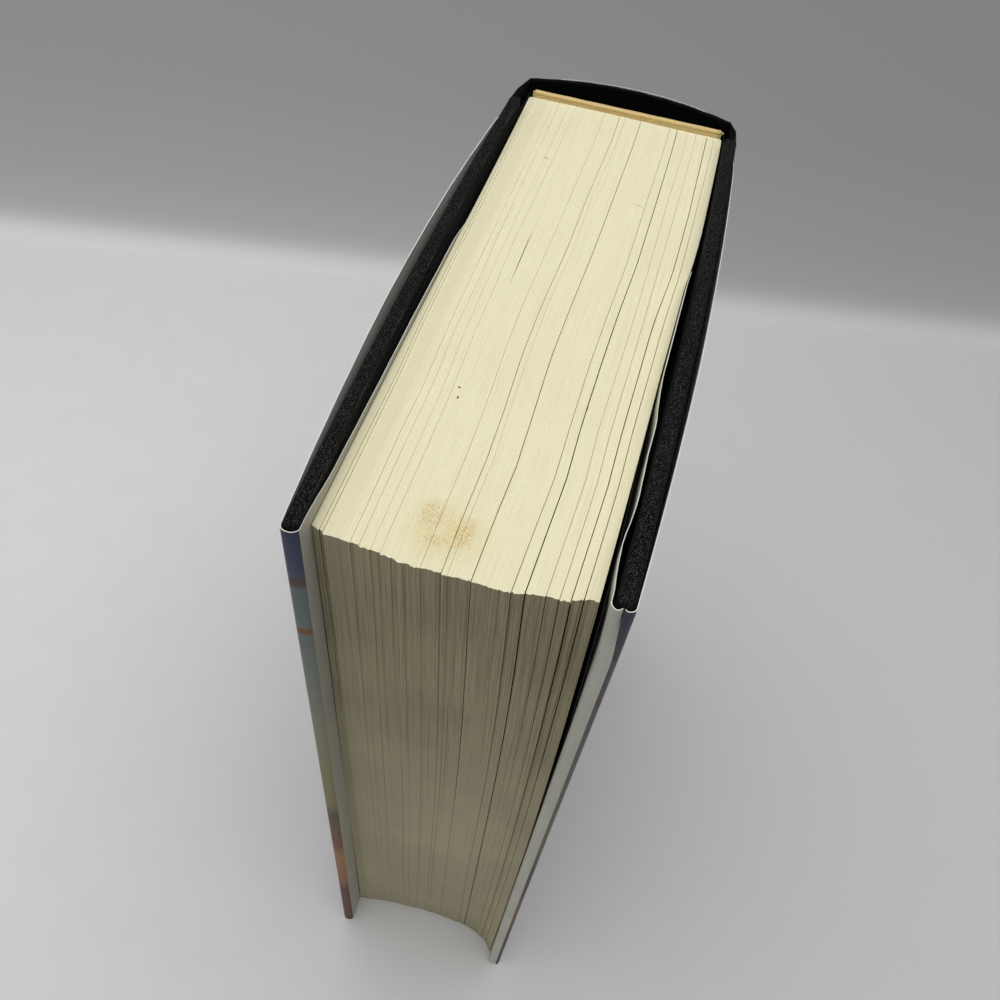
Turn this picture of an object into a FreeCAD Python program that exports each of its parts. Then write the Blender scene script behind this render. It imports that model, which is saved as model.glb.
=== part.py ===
import FreeCAD, Part
import os

import Sketcher

# Hardback book in its paper jacket, standing on its tail, in millimetres.
# X runs through the thickness from the front cover (-) to the back cover (+), Y from the fore-edge (-)
# to the spine (+), Z from tail to head. The origin is the middle of the footprint on the table.

SIZES = (
    # Case: two boards, a card spine inlay and the cloth that holds them together
    ("board_height", 241.0),
    ("board_width", 148.4),
    ("board_thick", 2.4),
    ("board_bow", 1.1),
    ("board_round", 0.8),
    ("cloth_thick", 0.3),
    ("turn_in", 16.0),
    ("inlay_thick", 0.6),
    ("spine_rise", 5.5),
    ("joint_width", 11.3),
    ("hinge_set", 3.2),
    ("rack", 2.5),
    ("front_lean", 0.15),
    ("back_lean", 0.7),
    # Text block: sewn sections, rounded a little at the shoulders, thinner at the fore-edge
    ("block_height", 235.0),
    ("block_depth", 151.2),
    ("spine_thick", 52.6),
    ("fore_thick", 48.6),
    ("fore_shift", 1.3),
    ("side_bow", 0.6),
    ("shoulder_round", 1.5),
    ("head_swell", 2.3),
    ("tail_hollow", 2.4),
    ("block_lean", 0.7),
    ("gap_width", 0.45),
    ("gap_depth", 2.5),
    ("split_width", 1.0),
    ("split_depth", 7.0),
    ("spine_play", 1.45),
    # Spine linings and the two bands
    ("mull_thick", 0.3),
    ("lining_thick", 0.4),
    ("lining_margin", 3.0),
    ("band_bead", 2.4),
    ("band_rise", 1.7),
    ("band_skirt", 13.0),
    # Endpapers
    ("paper_thick", 0.2),
    ("paste_margin", 3.0),
    # Jacket
    ("jacket_thick", 0.2),
    ("jacket_gap", 0.3),
    ("front_jacket_bow", 1.9),
    ("back_jacket_bow", 0.9),
    ("jacket_height", 239.6),
    ("jacket_lift", 0.3),
    ("fold_round", 1.2),
    ("front_flap", 96.0),
    ("back_flap", 93.0),
    ("front_flap_gap", 0.1),
    ("back_flap_gap", 0.8),
    # Clearances
    ("cover_clear", 0.4),
    ("groove_clear", 0.7),
    ("hinge_clear", 0.2),
    ("cut_clear", 0.3),
    ("paste_clear", 0.02),
)

# Where the sections part at the fore-edge, as shares of its thickness from the front,
# and how far each section stands back (+) or forward (-) of the curve
SECTION_ENDS = (0.157, 0.233, 0.27, 0.38, 0.49, 0.59, 0.66, 0.73, 0.77, 0.85, 0.92, 0.96)
SECTION_STEPS = (-0.4, 0.2, 0.1, -0.35, 0.1, 0.0, -0.2, 0.15, -0.3, 0.1, -0.4, -0.2, 0.2)
OPEN_SPLIT = 0.77

doc = FreeCAD.newDocument("hardback_book")
sheet = doc.addObject("Spreadsheet::Sheet", "sizes")
for row, (name, number) in enumerate(SIZES, 1):
    sheet.set(f"A{row}", name)
    sheet.set(f"B{row}", str(number))
    sheet.setAlias(f"B{row}", name)
doc.recompute()


class Size:
    """A length with its number and the formula that gives it from the sheet."""

    def __init__(self, number, formula):
        self.number = number
        self.formula = formula

    def __add__(self, other):
        other = as_size(other)
        return Size(self.number + other.number, f"({self.formula} + {other.formula})")

    def __sub__(self, other):
        other = as_size(other)
        return Size(self.number - other.number, f"({self.formula} - {other.formula})")

    def __mul__(self, other):
        other = as_size(other)
        return Size(self.number * other.number, f"({self.formula} * {other.formula})")

    def __truediv__(self, other):
        other = as_size(other)
        return Size(self.number / other.number, f"({self.formula} / {other.formula})")

    def __neg__(self):
        return self * -1.0


def as_size(value):
    return value if isinstance(value, Size) else Size(float(value), f"({float(value):.6f})")


def size(name):
    return Size(float(getattr(sheet, name)), f"sizes.{name}")


def midway(a, b):
    return (a + b) * 0.5


# Drawing helpers: closed profiles whose every corner is held by two sizes

def new_body(label):
    body = doc.addObject("PartDesign::Body", label)
    body.Label = label
    return body


def origin_plane(body, role):
    return next(item for item in body.Origin.OriginFeatures if item.Role == role)


def profile(body, name, corners, lift=0.0, plane="XY_Plane"):
    """Closed outline through corners (x, y); a corner (x, y, vx, vy) is reached by an arc through (vx, vy)."""
    sketch = body.newObject("Sketcher::SketchObject", name)
    sketch.AttachmentSupport = (origin_plane(body, plane), [""])
    sketch.MapMode = "FlatFace"
    lift = as_size(lift)
    sketch.AttachmentOffset = FreeCAD.Placement(FreeCAD.Vector(0, 0, lift.number), FreeCAD.Rotation())
    sketch.setExpression("AttachmentOffset.Base.z", lift.formula)
    corners = [tuple(as_size(value) for value in corner) for corner in corners]
    points = [FreeCAD.Vector(corner[0].number, corner[1].number, 0) for corner in corners]
    edges = []
    for index, corner in enumerate(corners):
        start, end = points[index - 1], points[index]
        if len(corner) == 4:
            via = FreeCAD.Vector(corner[2].number, corner[3].number, 0)
            edges.append(sketch.addGeometry(Part.ArcOfCircle(start, via, end), False))
        else:
            edges.append(sketch.addGeometry(Part.LineSegment(start, end), False))

    def end_near(edge, point):
        first = sketch.getPoint(edge, 1).distanceToPoint(point)
        return 1 if first < sketch.getPoint(edge, 2).distanceToPoint(point) else 2

    ends = [(end_near(edges[i], points[i]), end_near(edges[(i + 1) % len(edges)], points[i]))
            for i in range(len(edges))]
    constraints, formulas = [], []

    def hold(geometry, place, across, along):
        for kind, value in (("DistanceX", across), ("DistanceY", along)):
            formulas.append((len(constraints), value.formula))
            constraints.append(Sketcher.Constraint(kind, -1, 1, geometry, place, value.number))

    for index, corner in enumerate(corners):
        following = edges[(index + 1) % len(edges)]
        constraints.append(Sketcher.Constraint("Coincident", edges[index], ends[index][0], following, ends[index][1]))
        hold(edges[index], ends[index][0], corner[0], corner[1])
        if len(corner) == 4:
            via = FreeCAD.Vector(corner[2].number, corner[3].number, 0)
            mark = sketch.addGeometry(Part.Point(via), True)
            constraints.append(Sketcher.Constraint("PointOnObject", mark, 1, edges[index]))
            hold(mark, 1, corner[2], corner[3])
    sketch.addConstraint(constraints)
    for number, formula in formulas:
        sketch.setExpression(f"Constraints[{number}]", formula)
    return sketch


def bound(feature, prop, value):
    value = as_size(value)
    setattr(feature, prop, value.number)
    feature.setExpression(prop, value.formula)


def pad(body, name, sketch, length):
    feature = body.newObject("PartDesign::Pad", name)
    feature.Profile = sketch
    bound(feature, "Length", length)
    return feature


def hollow(body, name, sketch, length):
    """Pocket that runs up from its sketch into the solid above it."""
    doc.recompute()
    before = body.Shape.Volume
    feature = body.newObject("PartDesign::Pocket", name)
    feature.Profile = sketch
    feature.Reversed = True
    bound(feature, "Length", length)
    doc.recompute()
    if body.Shape.Volume >= before:
        raise RuntimeError(f"{name} cuts nothing")
    return feature


def place(body, across, along, up, axis=None, turn=None):
    """Puts a body at a point, turned about an axis through that point."""
    across, along, up = as_size(across), as_size(along), as_size(up)
    rotation = FreeCAD.Rotation(axis, turn.number) if turn else FreeCAD.Rotation()
    body.Placement = FreeCAD.Placement(FreeCAD.Vector(across.number, along.number, up.number), rotation)
    body.setExpression("Placement.Base.x", across.formula)
    body.setExpression("Placement.Base.y", along.formula)
    body.setExpression("Placement.Base.z", up.formula)
    if turn:
        body.setExpression("Placement.Rotation.Angle", turn.formula)


# Sizes that follow from the driving ones

board_height, board_width, board_thick = size("board_height"), size("board_width"), size("board_thick")
cloth, turn_in, inlay_thick = size("cloth_thick"), size("turn_in"), size("inlay_thick")
spine_rise, joint_width, hinge_set = size("spine_rise"), size("joint_width"), size("hinge_set")
paper, paste_margin = size("paper_thick"), size("paste_margin")
jacket_thick, jacket_gap = size("jacket_thick"), size("jacket_gap")
cut_clear = size("cut_clear")

cover_length = board_width + cloth * 2
half_block = size("spine_thick") * 0.5
leaf_face = half_block + paper
leg_outer = leaf_face + size("groove_clear") + cloth
leg_inner = leg_outer - cloth
outer_level = size("hinge_clear") + jacket_thick + jacket_gap
board_level = outer_level + cloth
board_back = board_level + board_thick
inner_level = board_back + cloth
hinge_x = leaf_face + size("cover_clear") + paper + inner_level

fold_reach = jacket_gap + jacket_thick
total_depth = fold_reach * 2 + cover_length + joint_width + spine_rise
front_end = fold_reach - total_depth * 0.5 + cover_length
shoulder_y = front_end + joint_width
hinge_y = {-1: front_end + hinge_set, 1: front_end + size("rack") + hinge_set}

square = (board_height - size("block_height")) * 0.5
block_y = shoulder_y - size("spine_play")

panel_level = size("hinge_clear")
DEGREE = 0.0174533


def bulge(word):
    """How far a jacket panel reaches out sideways; its lean takes a little off its bow."""
    bow = size("board_bow") + size(f"{word}_jacket_bow")
    sweep = size(f"{word}_lean") * DEGREE * (cover_length + hinge_set) * 0.5
    return hinge_x - panel_level + bow - sweep + sweep * sweep / (bow * 4.0)


block_x = (bulge("front") - bulge("back")) * 0.5


# Text block: a loft from the tail outline to the head outline

block_height, block_depth = size("block_height"), size("block_depth")
shoulder_round = size("shoulder_round")
fore_front = -(size("fore_thick") * 0.5) - size("fore_shift")
fore_back = size("fore_thick") * 0.5 - size("fore_shift")


def side_line(side):
    """Shoulder, middle and fore-edge points of one side of the block."""
    fore = fore_front if side < 0 else fore_back
    shoulder = half_block * side
    middle = midway(shoulder, fore) + size("side_bow") * side
    return (shoulder, -shoulder_round), (middle, -midway(block_depth, shoulder_round)), (fore, -block_depth)


def fore_edge(curve):
    """Stepped sections from the back to the front, with a narrow gap between each two."""
    ends = (0.0,) + SECTION_ENDS + (1.0,)
    thick = size("fore_thick")
    points = []
    for index in reversed(range(len(SECTION_STEPS))):
        for share, inward in ((ends[index + 1], -1), (ends[index], 1)):
            outermost = share in (0.0, 1.0)
            wide = share == OPEN_SPLIT
            gap = size("split_width") if wide else size("gap_width")
            depth = size("split_depth") if wide else size("gap_depth")
            front = -block_depth - curve * (4 * share * (1 - share))
            if outermost:
                points.append((fore_front + thick * share, -block_depth))
                continue
            points.append((fore_front + thick * share + gap * (0.5 * inward), front + SECTION_STEPS[index]))
            if inward > 0:
                points.append((fore_front + thick * share, front + depth))
    return points


def block_outline(curve):
    back, front = side_line(1), side_line(-1)
    nick = shoulder_round * 0.293
    edge = fore_edge(curve)
    return ([(half_block - shoulder_round, 0.0),
             (half_block, -shoulder_round, half_block - nick, -nick),
             back[2] + back[1]]
            + edge[1:-1]
            + [front[2], front[0] + front[1],
               (-half_block + shoulder_round, 0.0, -half_block + nick, -nick)])


def with_block(body, axis=FreeCAD.Vector(1, 0, 0)):
    """Everything glued to the block leans forward with it."""
    place(body, block_x, block_y, square, axis, size("block_lean"))


text_block = new_body("text_block")
tail_outline = profile(text_block, "tail_outline", block_outline(-size("tail_hollow")))
head_outline = profile(text_block, "head_outline", block_outline(size("head_swell")), block_height)
sections = text_block.newObject("PartDesign::AdditiveLoft", "sections")
sections.Profile = tail_outline
sections.Sections = [head_outline]
sections.Ruled = True
with_block(text_block)

# Endpapers: the free leaf stays on the block

for side, label in ((-1, "front_flyleaf"), (1, "back_flyleaf")):
    leaf = new_body(label)
    near, middle, far = side_line(side)
    skin = paper * side
    outline = profile(leaf, f"{label}_plan", [
        near, far + middle, (far[0] + skin, far[1]),
        (near[0] + skin, near[1], middle[0] + skin, middle[1])])
    pad(leaf, f"{label}_sheet", outline, block_height)
    with_block(leaf)

# Spine of the block: gauze, paper lining and the bands at head and tail

mull_thick, lining_thick = size("mull_thick"), size("lining_thick")
band_skirt, lining_margin = size("band_skirt"), size("lining_margin")
spine_flat = half_block - shoulder_round


def spine_strip(label, inner, thick, foot):
    strip = new_body(label)
    outline = profile(strip, f"{label}_plan", [
        (-spine_flat, inner), (spine_flat, inner), (spine_flat, inner + thick), (-spine_flat, inner + thick)], foot)
    pad(strip, f"{label}_strip", outline, block_height - foot * 2)
    with_block(strip)


spine_strip("mull", as_size(0.0), mull_thick, band_skirt + cut_clear)
spine_strip("spine_lining", mull_thick, lining_thick, lining_margin)

for label, edge, way in (("head_band", block_height, 1), ("tail_band", as_size(0.0), -1)):
    band = new_body(label)
    bead, rise = size("band_bead"), size("band_rise")
    outline = profile(band, f"{label}_section", [
        (0.0, edge), (0.0, edge - band_skirt * way), (mull_thick, edge - band_skirt * way),
        (mull_thick, edge + rise * (0.4 * way)),
        (-bead, edge, bead * -0.4, edge + rise * way)], -spine_flat, "YZ_Plane")
    pad(band, f"{label}_tape", outline, spine_flat * 2)
    with_block(band)

# Case spine: the inlay card and the cloth over it, turned in at head and tail


def spine_arc(half_width, drop, reverse=False):
    """Two corners joined by the curve of the spine, lowered by drop towards the block."""
    start = -half_width if not reverse else half_width
    level = shoulder_y - drop
    return [(start, level), (-start, level, 0.0, level + spine_rise)]


inlay_plan = spine_arc(leg_inner, cloth) + spine_arc(leg_inner, cloth + inlay_thick, True)
inlay = new_body("spine_inlay")
outline = profile(inlay, "inlay_plan", inlay_plan, cloth)
pad(inlay, "inlay_card", outline, board_height - cloth * 2)
place(inlay, block_x, 0.0, 0.0)

spine_cloth = new_body("spine_cloth")
front_cut, back_cut = hinge_y[-1] + cut_clear * 0.5, hinge_y[1] + cut_clear * 0.5
wrap = [(-leg_outer, front_cut)] + spine_arc(leg_outer, cloth * 0) + [
    (leg_outer, back_cut), (leg_inner, back_cut)] + spine_arc(leg_inner, cloth * 2 + inlay_thick, True) + [
    (-leg_inner, front_cut)]
pad(spine_cloth, "spine_wrap", profile(spine_cloth, "wrap_plan", wrap), board_height)
hollow(spine_cloth, "inlay_room", profile(spine_cloth, "room_plan", inlay_plan, cloth), board_height - cloth * 2)
between = spine_arc(leg_inner, cloth + inlay_thick) + spine_arc(leg_inner, cloth * 3 + inlay_thick, True)
hollow(spine_cloth, "between_turn_ins", profile(spine_cloth, "between_plan", between, turn_in),
       board_height - turn_in * 2)
place(spine_cloth, block_x, 0.0, 0.0)

# Covers, drawn about the hinge line: depth is measured inward from it, reach towards the fore-edge

back_end = -hinge_set
fore_end = -hinge_set - cover_length


def bowed(depth, reach, bow):
    """Depth of a bowed surface at a reach along the cover; it bulges outward in the middle."""
    along = (reach - fore_end) / cover_length
    return depth - bow * 4.0 * along * (as_size(1.0) - along)


def bow_to(depth, start, end, bow):
    """Corner reached along the bow, with the point halfway that the arc passes."""
    middle = midway(start, end)
    return bowed(depth, end, bow), end, bowed(depth, middle, bow), middle


def outward(side, corners):
    """Turns depths into X for one side of the book."""
    turned = []
    for corner in corners:
        corner = [as_size(value) for value in corner]
        turned.append(tuple(value * float(-side) if place_ % 2 == 0 else value
                            for place_, value in enumerate(corner)))
    return turned


def rounded_slab(outer, inner, near, far, radius, bow):
    """Plan of a bowed slab with its two fore-edge corners rounded."""
    nick = radius * 0.293
    turn = far + radius
    face_out, face_in = bowed(outer, turn, bow), bowed(inner, turn, bow)
    return [(bowed(outer, near, bow), near), bow_to(outer, near, turn, bow),
            (face_out + radius, far, face_out + nick, far + nick),
            (face_in - radius, far),
            (face_in, turn, face_in - nick, far + nick),
            bow_to(inner, turn, near, bow)]


board_bow, board_round = size("board_bow"), size("board_round")
groove_level = hinge_x - leg_outer

for side, word in ((-1, "front"), (1, "back")):

    def with_cover(body):
        lean = size(f"{word}_lean") * float(-side)
        place(body, block_x + hinge_x * float(side), hinge_y[side], 0.0, FreeCAD.Vector(0, 0, 1), lean)

    # Board
    board_plan = outward(side, rounded_slab(board_level, board_back, back_end - cloth, fore_end + cloth,
                                            board_round, board_bow))
    board = new_body(f"{word}_board")
    pad(board, f"{word}_board_slab", profile(board, f"{word}_board_plan", board_plan, cloth),
        board_height - cloth * 2)
    with_cover(board)

    # Cloth: over the board, down its back edge and half way along the groove, turned in on three sides
    cover = new_body(f"{word}_cloth")
    envelope = rounded_slab(outer_level, inner_level, back_end, fore_end, board_round + cloth, board_bow)
    groove = [(groove_level + cloth, back_end), (groove_level + cloth, -(cut_clear * 0.5)),
              (groove_level, -(cut_clear * 0.5)), (groove_level, back_end)]
    pad(cover, f"{word}_wrap",
        profile(cover, f"{word}_wrap_plan", outward(side, envelope + groove)), board_height)
    hollow(cover, f"{word}_board_room", profile(cover, f"{word}_room_plan", board_plan, cloth),
           board_height - cloth * 2)
    lip = fore_end + turn_in
    back_in, deep = back_end - cloth, board_back - board_thick * 0.5
    window = [(bowed(deep, back_in, board_bow), back_in), bow_to(deep, back_in, lip, board_bow),
              (inner_level + board_thick, lip), (inner_level + board_thick, back_in)]
    hollow(cover, f"{word}_between_turn_ins",
           profile(cover, f"{word}_window_plan", outward(side, window), turn_in), board_height - turn_in * 2)
    with_cover(cover)

    # Pasted-down endpaper: it lies over the turn-ins and sinks to the board between them
    paste = new_body(f"{word}_pastedown")
    near, far = back_end, fore_end + paste_margin
    sheet_plan = [(bowed(inner_level, near, board_bow), near), bow_to(inner_level, near, far, board_bow),
                  (bowed(inner_level + paper, far, board_bow), far),
                  bow_to(inner_level + paper, far, near, board_bow)]
    pad(paste, f"{word}_paste_sheet",
        profile(paste, f"{word}_paste_plan", outward(side, sheet_plan), paste_margin),
        board_height - paste_margin * 2)
    sunk_level = board_back + size("paste_clear")
    sunk_plan = [(bowed(sunk_level, back_in, board_bow), back_in), bow_to(sunk_level, back_in, lip, board_bow),
                 (bowed(inner_level + paper * 0.5, lip, board_bow), lip),
                 bow_to(inner_level + paper * 0.5, lip, back_in, board_bow)]
    pad(paste, f"{word}_paste_sunk",
        profile(paste, f"{word}_sunk_plan", outward(side, sunk_plan), turn_in), board_height - turn_in * 2)
    with_cover(paste)

    # Jacket: panel over the cover, fold round the fore-edge, flap tucked inside
    jacket = new_body(f"jacket_{word}")
    skin, fold = jacket_thick, size("fold_round")
    panel_bow = board_bow + size(f"{word}_jacket_bow")
    panel_end = -(cut_clear * 0.5)
    fold_end = fore_end - fold_reach
    flap_level = inner_level + paper + size(f"{word}_flap_gap") + skin
    flap_end = fold_end + size(f"{word}_flap")
    turn = fold_end + fold
    nick_out = fold * 0.293
    nick_in = skin + (fold - skin) * 0.293
    jacket_plan = [
        (panel_level, panel_end),
        (panel_level, turn, bowed(panel_level, midway(panel_end, turn), panel_bow), midway(panel_end, turn)),
        (panel_level + fold, fold_end, panel_level + nick_out, fold_end + nick_out),
        (flap_level - fold, fold_end),
        (flap_level, turn, flap_level - nick_out, fold_end + nick_out),
        bow_to(flap_level, turn, flap_end, board_bow),
        (bowed(flap_level - skin, flap_end, board_bow), flap_end),
        (flap_level - skin, turn, bowed(flap_level - skin, midway(turn, flap_end), board_bow),
         midway(turn, flap_end)),
        (flap_level - fold, fold_end + skin, flap_level - nick_in, fold_end + nick_in),
        (panel_level + fold, fold_end + skin),
        (panel_level + skin, turn, panel_level + nick_in, fold_end + nick_in),
        (panel_level + skin, panel_end,
         bowed(panel_level + skin, midway(panel_end, turn), panel_bow), midway(panel_end, turn))]
    pad(jacket, f"jacket_{word}_sheet",
        profile(jacket, f"jacket_{word}_plan", outward(side, jacket_plan), size("jacket_lift")),
        size("jacket_height"))
    with_cover(jacket)

# Jacket over the spine

jacket_outer = hinge_x - size("hinge_clear")
jacket_inner = jacket_outer - jacket_thick
away = jacket_gap + jacket_thick
front_cut, back_cut = hinge_y[-1] + cut_clear * 0.5, hinge_y[1] + cut_clear * 0.5
jacket_spine = new_body("jacket_spine")
jacket_plan = ([(-jacket_outer, front_cut)]
               + spine_arc(leg_outer + away, -away)
               + [(jacket_outer, back_cut), (jacket_inner, back_cut)]
               + spine_arc(leg_outer + jacket_gap, -jacket_gap, True)
               + [(-jacket_inner, front_cut)])
pad(jacket_spine, "jacket_spine_sheet",
    profile(jacket_spine, "jacket_spine_plan", jacket_plan, size("jacket_lift")), size("jacket_height"))
place(jacket_spine, block_x, 0.0, 0.0)

# Check and write

doc.recompute()
for item in doc.Objects:
    if "Invalid" in item.State or "Error" in item.State:
        raise RuntimeError(f"{item.Name} failed: {item.State}")
os.makedirs("parts", exist_ok=True)
bodies = [item for item in doc.Objects if item.TypeId == "PartDesign::Body"]
for body in bodies:
    shape = body.Shape
    if shape.isNull() or not shape.isValid() or len(shape.Solids) != 1:
        raise RuntimeError(f"{body.Label} is not one valid solid")
for body in bodies:
    body.Shape.exportStep(f"parts/{body.Label}.step")
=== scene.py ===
import math

import bpy
import numpy as np
from mathutils import Matrix, Vector


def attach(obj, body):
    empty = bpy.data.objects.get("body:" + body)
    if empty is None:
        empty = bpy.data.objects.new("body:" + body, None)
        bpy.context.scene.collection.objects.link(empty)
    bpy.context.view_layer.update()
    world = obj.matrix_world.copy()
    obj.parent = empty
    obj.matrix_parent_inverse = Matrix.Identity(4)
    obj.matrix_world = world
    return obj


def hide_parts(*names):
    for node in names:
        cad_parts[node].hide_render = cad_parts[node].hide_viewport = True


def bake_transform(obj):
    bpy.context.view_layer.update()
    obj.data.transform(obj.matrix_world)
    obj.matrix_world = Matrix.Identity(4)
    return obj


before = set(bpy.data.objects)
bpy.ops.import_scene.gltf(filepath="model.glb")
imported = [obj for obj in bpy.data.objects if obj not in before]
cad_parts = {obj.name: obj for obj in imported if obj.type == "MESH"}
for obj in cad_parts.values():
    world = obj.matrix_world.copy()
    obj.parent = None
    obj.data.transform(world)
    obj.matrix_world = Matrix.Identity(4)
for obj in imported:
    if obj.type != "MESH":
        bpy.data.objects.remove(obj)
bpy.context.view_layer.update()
rng = np.random.default_rng(11)

# Hardback book in its paper jacket. Lengths are in millimetres until a mesh is made.
# Block frame: x across the leaves, y from the spine (0) to the fore-edge (-), z from tail to head.
# Cover frame: depth inward from the hinge line, reach from it towards the fore-edge (-), height.

MM = 0.001
BLOCK_X, BLOCK_Y, SQUARE = 0.8129, 75.95, 3.0
BLOCK_LEAN = math.radians(0.7)
BLOCK_HEIGHT, BLOCK_DEPTH, BLOCK_THICK = 235.0, 151.2, 48.6
BLOCK_HALF, CASE_HALF, JACKET_HALF = 26.3, 27.35, 27.9     # half of each one's width at the spine
HINGE_X = 30.8
HINGE_Y = {"front": 69.3, "back": 71.8}
LEAN = {"front": 0.15, "back": 0.7}
SIDE = {"front": -1, "back": 1}
SHOULDER_Y = 77.4
COVER_FORE, COVER_BACK = -152.2, -3.2
COVER_LENGTH = 149.0
FOLD_END = -152.7
BOARD_BOW = 1.1
JACKET_BOW = {"front": 1.9, "back": 0.9}
JACKET_FOOT, JACKET_TOP = 0.3, 239.9
COVER_TOP = 241.0


def block_point(local):
    """Block frame to the book's frame."""
    x, y, z = np.moveaxis(np.asarray(local, float), -1, 0)
    cos, sin = math.cos(BLOCK_LEAN), math.sin(BLOCK_LEAN)
    return np.stack([x + BLOCK_X, y * cos - z * sin + BLOCK_Y, y * sin + z * cos + SQUARE], axis=-1)


def cover_point(word, depth, reach, height):
    """Cover frame to the book's frame."""
    side = SIDE[word]
    angle = math.radians(LEAN[word]) * -side
    cos, sin = math.cos(angle), math.sin(angle)
    depth, reach, height = np.broadcast_arrays(np.asarray(depth, float), reach, height)
    x = -side * depth
    return np.stack([side * HINGE_X + BLOCK_X + cos * x - sin * reach,
                     HINGE_Y[word] + sin * x + cos * reach, height], axis=-1)


def bow_at(reach):
    """How far the middle of a board bulges outwards."""
    share = (reach - COVER_FORE) / COVER_LENGTH
    return BOARD_BOW * 4.0 * share * (1.0 - share)


def ease(value):
    value = np.clip(value, 0.0, 1.0)
    return value * value * (3.0 - 2.0 * value)


def rounding(radius, away):
    """How far a rounded corner stands back at a distance from its edge."""
    return radius - math.sqrt(max(0.0, radius ** 2 - (radius - min(radius, away)) ** 2))


# Meshes

def link(name, data):
    obj = bpy.data.objects.new(name, data)
    bpy.context.scene.collection.objects.link(obj)
    return obj


def make_object(name, points, faces, materials, slots=None, smooth_angle=None, extras=None, rest=None):
    mesh = bpy.data.meshes.new(name)
    points = np.asarray(points, float)
    mesh.from_pydata((points * MM).tolist(), [], faces)
    for finish in materials:
        mesh.materials.append(finish)
    if slots is not None:
        mesh.polygons.foreach_set("material_index", np.asarray(slots, np.int32))
    mesh.polygons.foreach_set("use_smooth", [smooth_angle is not None] * len(faces))
    if smooth_angle is not None:
        mesh.set_sharp_from_angle(angle=math.radians(smooth_angle))
    layer = mesh.attributes.new("rest_mm", "FLOAT_VECTOR", "POINT")
    layer.data.foreach_set("vector", np.asarray(points if rest is None else rest, np.float32).ravel())
    for key, values in (extras or {}).items():
        layer = mesh.attributes.new(key, "FLOAT", "POINT")
        layer.data.foreach_set("value", np.asarray(values, np.float32).ravel())
    mesh.update()
    return link(name, mesh)


def grid_faces(index, flip=False):
    """Quads over a 2-D array of vertex numbers."""
    a, b, c, d = index[:-1, :-1], index[:-1, 1:], index[1:, 1:], index[1:, :-1]
    quads = np.stack([a, b, c, d] if not flip else [a, d, c, b], axis=-1)
    return quads.reshape(-1, 4).tolist()


def tube_numbers(rows, around):
    """Vertex numbers of a closed ring for each row, and the same with the first one again at the end."""
    index = np.arange(rows * around).reshape(rows, around)
    return index, np.concatenate([index, index[:, :1]], axis=1)


def sheet_parts(middle, thick, start=0):
    """Closed thin solid round a middle surface: points, faces and slots (0 outer, 1 the rest)."""
    along = np.gradient(middle, axis=1)
    up = np.gradient(middle, axis=0)
    normal = np.cross(along, up)
    normal /= np.linalg.norm(normal, axis=-1, keepdims=True)
    rows, cols = middle.shape[:2]
    half = np.asarray(thick) * 0.5
    half = half[..., None] if half.ndim == 2 else half
    points = np.concatenate([(middle + normal * half).reshape(-1, 3),
                             (middle - normal * half).reshape(-1, 3)])
    outer = np.arange(rows * cols).reshape(rows, cols) + start
    inner = outer + rows * cols
    faces = grid_faces(outer)
    slots = [0] * len(faces)
    rest = grid_faces(inner, flip=True)
    for line_out, line_in in ((outer[0], inner[0]), (outer[-1][::-1], inner[-1][::-1]),
                              (outer[:, -1], inner[:, -1]), (outer[:, 0][::-1], inner[:, 0][::-1])):
        rest += grid_faces(np.stack([line_in, line_out]))
    return points, faces + rest, slots + [1] * len(rest)


def sheet_object(name, middle, thick, materials, smooth_angle=50):
    points, faces, slots = sheet_parts(middle, thick)
    return make_object(name, points, faces, materials, slots, smooth_angle)


def grid_points(xs, ys, zs):
    """Grid of points from what broadcasts to it; zs has one height for each row or for each point."""
    return np.stack(np.broadcast_arrays(xs, ys, zs if zs.ndim == 2 else zs[:, None]), axis=-1)


# Materials

def material(name):
    made = bpy.data.materials.new(name)
    made.use_nodes = True
    return made, made.node_tree


def add(tree, kind, inputs=None, **settings):
    node = tree.nodes.new(kind)
    for key, value in settings.items():
        setattr(node, key, value)
    for key, value in (inputs or {}).items():
        if isinstance(value, bpy.types.NodeSocket):
            tree.links.new(value, node.inputs[key])
        else:
            node.inputs[key].default_value = value
    return node


def maths(tree, operation, first, second=0.0, third=0.0, clamp=False):
    return add(tree, "ShaderNodeMath", {0: first, 1: second, 2: third},
               operation=operation, use_clamp=clamp).outputs[0]


def times(tree, first, second):
    return maths(tree, "MULTIPLY", first, second)


def vector(tree, operation, first, second):
    return add(tree, "ShaderNodeVectorMath", {0: first, 1: second}, operation=operation).outputs[0]


def at_rest(tree):
    """Place in the piece's own frame, in millimetres, that stays with the mesh when it moves."""
    return add(tree, "ShaderNodeAttribute", attribute_name="rest_mm").outputs["Vector"]


def point_value(tree, name):
    return add(tree, "ShaderNodeAttribute", attribute_name=name).outputs["Fac"]


def own_coords(tree):
    return add(tree, "ShaderNodeTexCoord").outputs["Object"]


def split(tree, coords):
    return tuple(add(tree, "ShaderNodeSeparateXYZ", {0: coords}).outputs)


def flat_coords(tree, x, y):
    return add(tree, "ShaderNodeCombineXYZ", {0: x, 1: y}).outputs[0]


def noise(tree, coords, scale, detail=2.0, rough=0.5):
    return add(tree, "ShaderNodeTexNoise", {"Vector": coords, "Scale": scale, "Detail": detail,
                                            "Roughness": rough}).outputs["Fac"]


def ramp(tree, factor, stops):
    node = add(tree, "ShaderNodeValToRGB", {"Fac": factor})
    elements = node.color_ramp.elements
    while len(elements) < len(stops):
        elements.new(0.5)
    for element, (position, colour) in zip(elements, stops):
        element.position = position
        element.color = (*colour, 1.0)
    return node.outputs["Color"]


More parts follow.
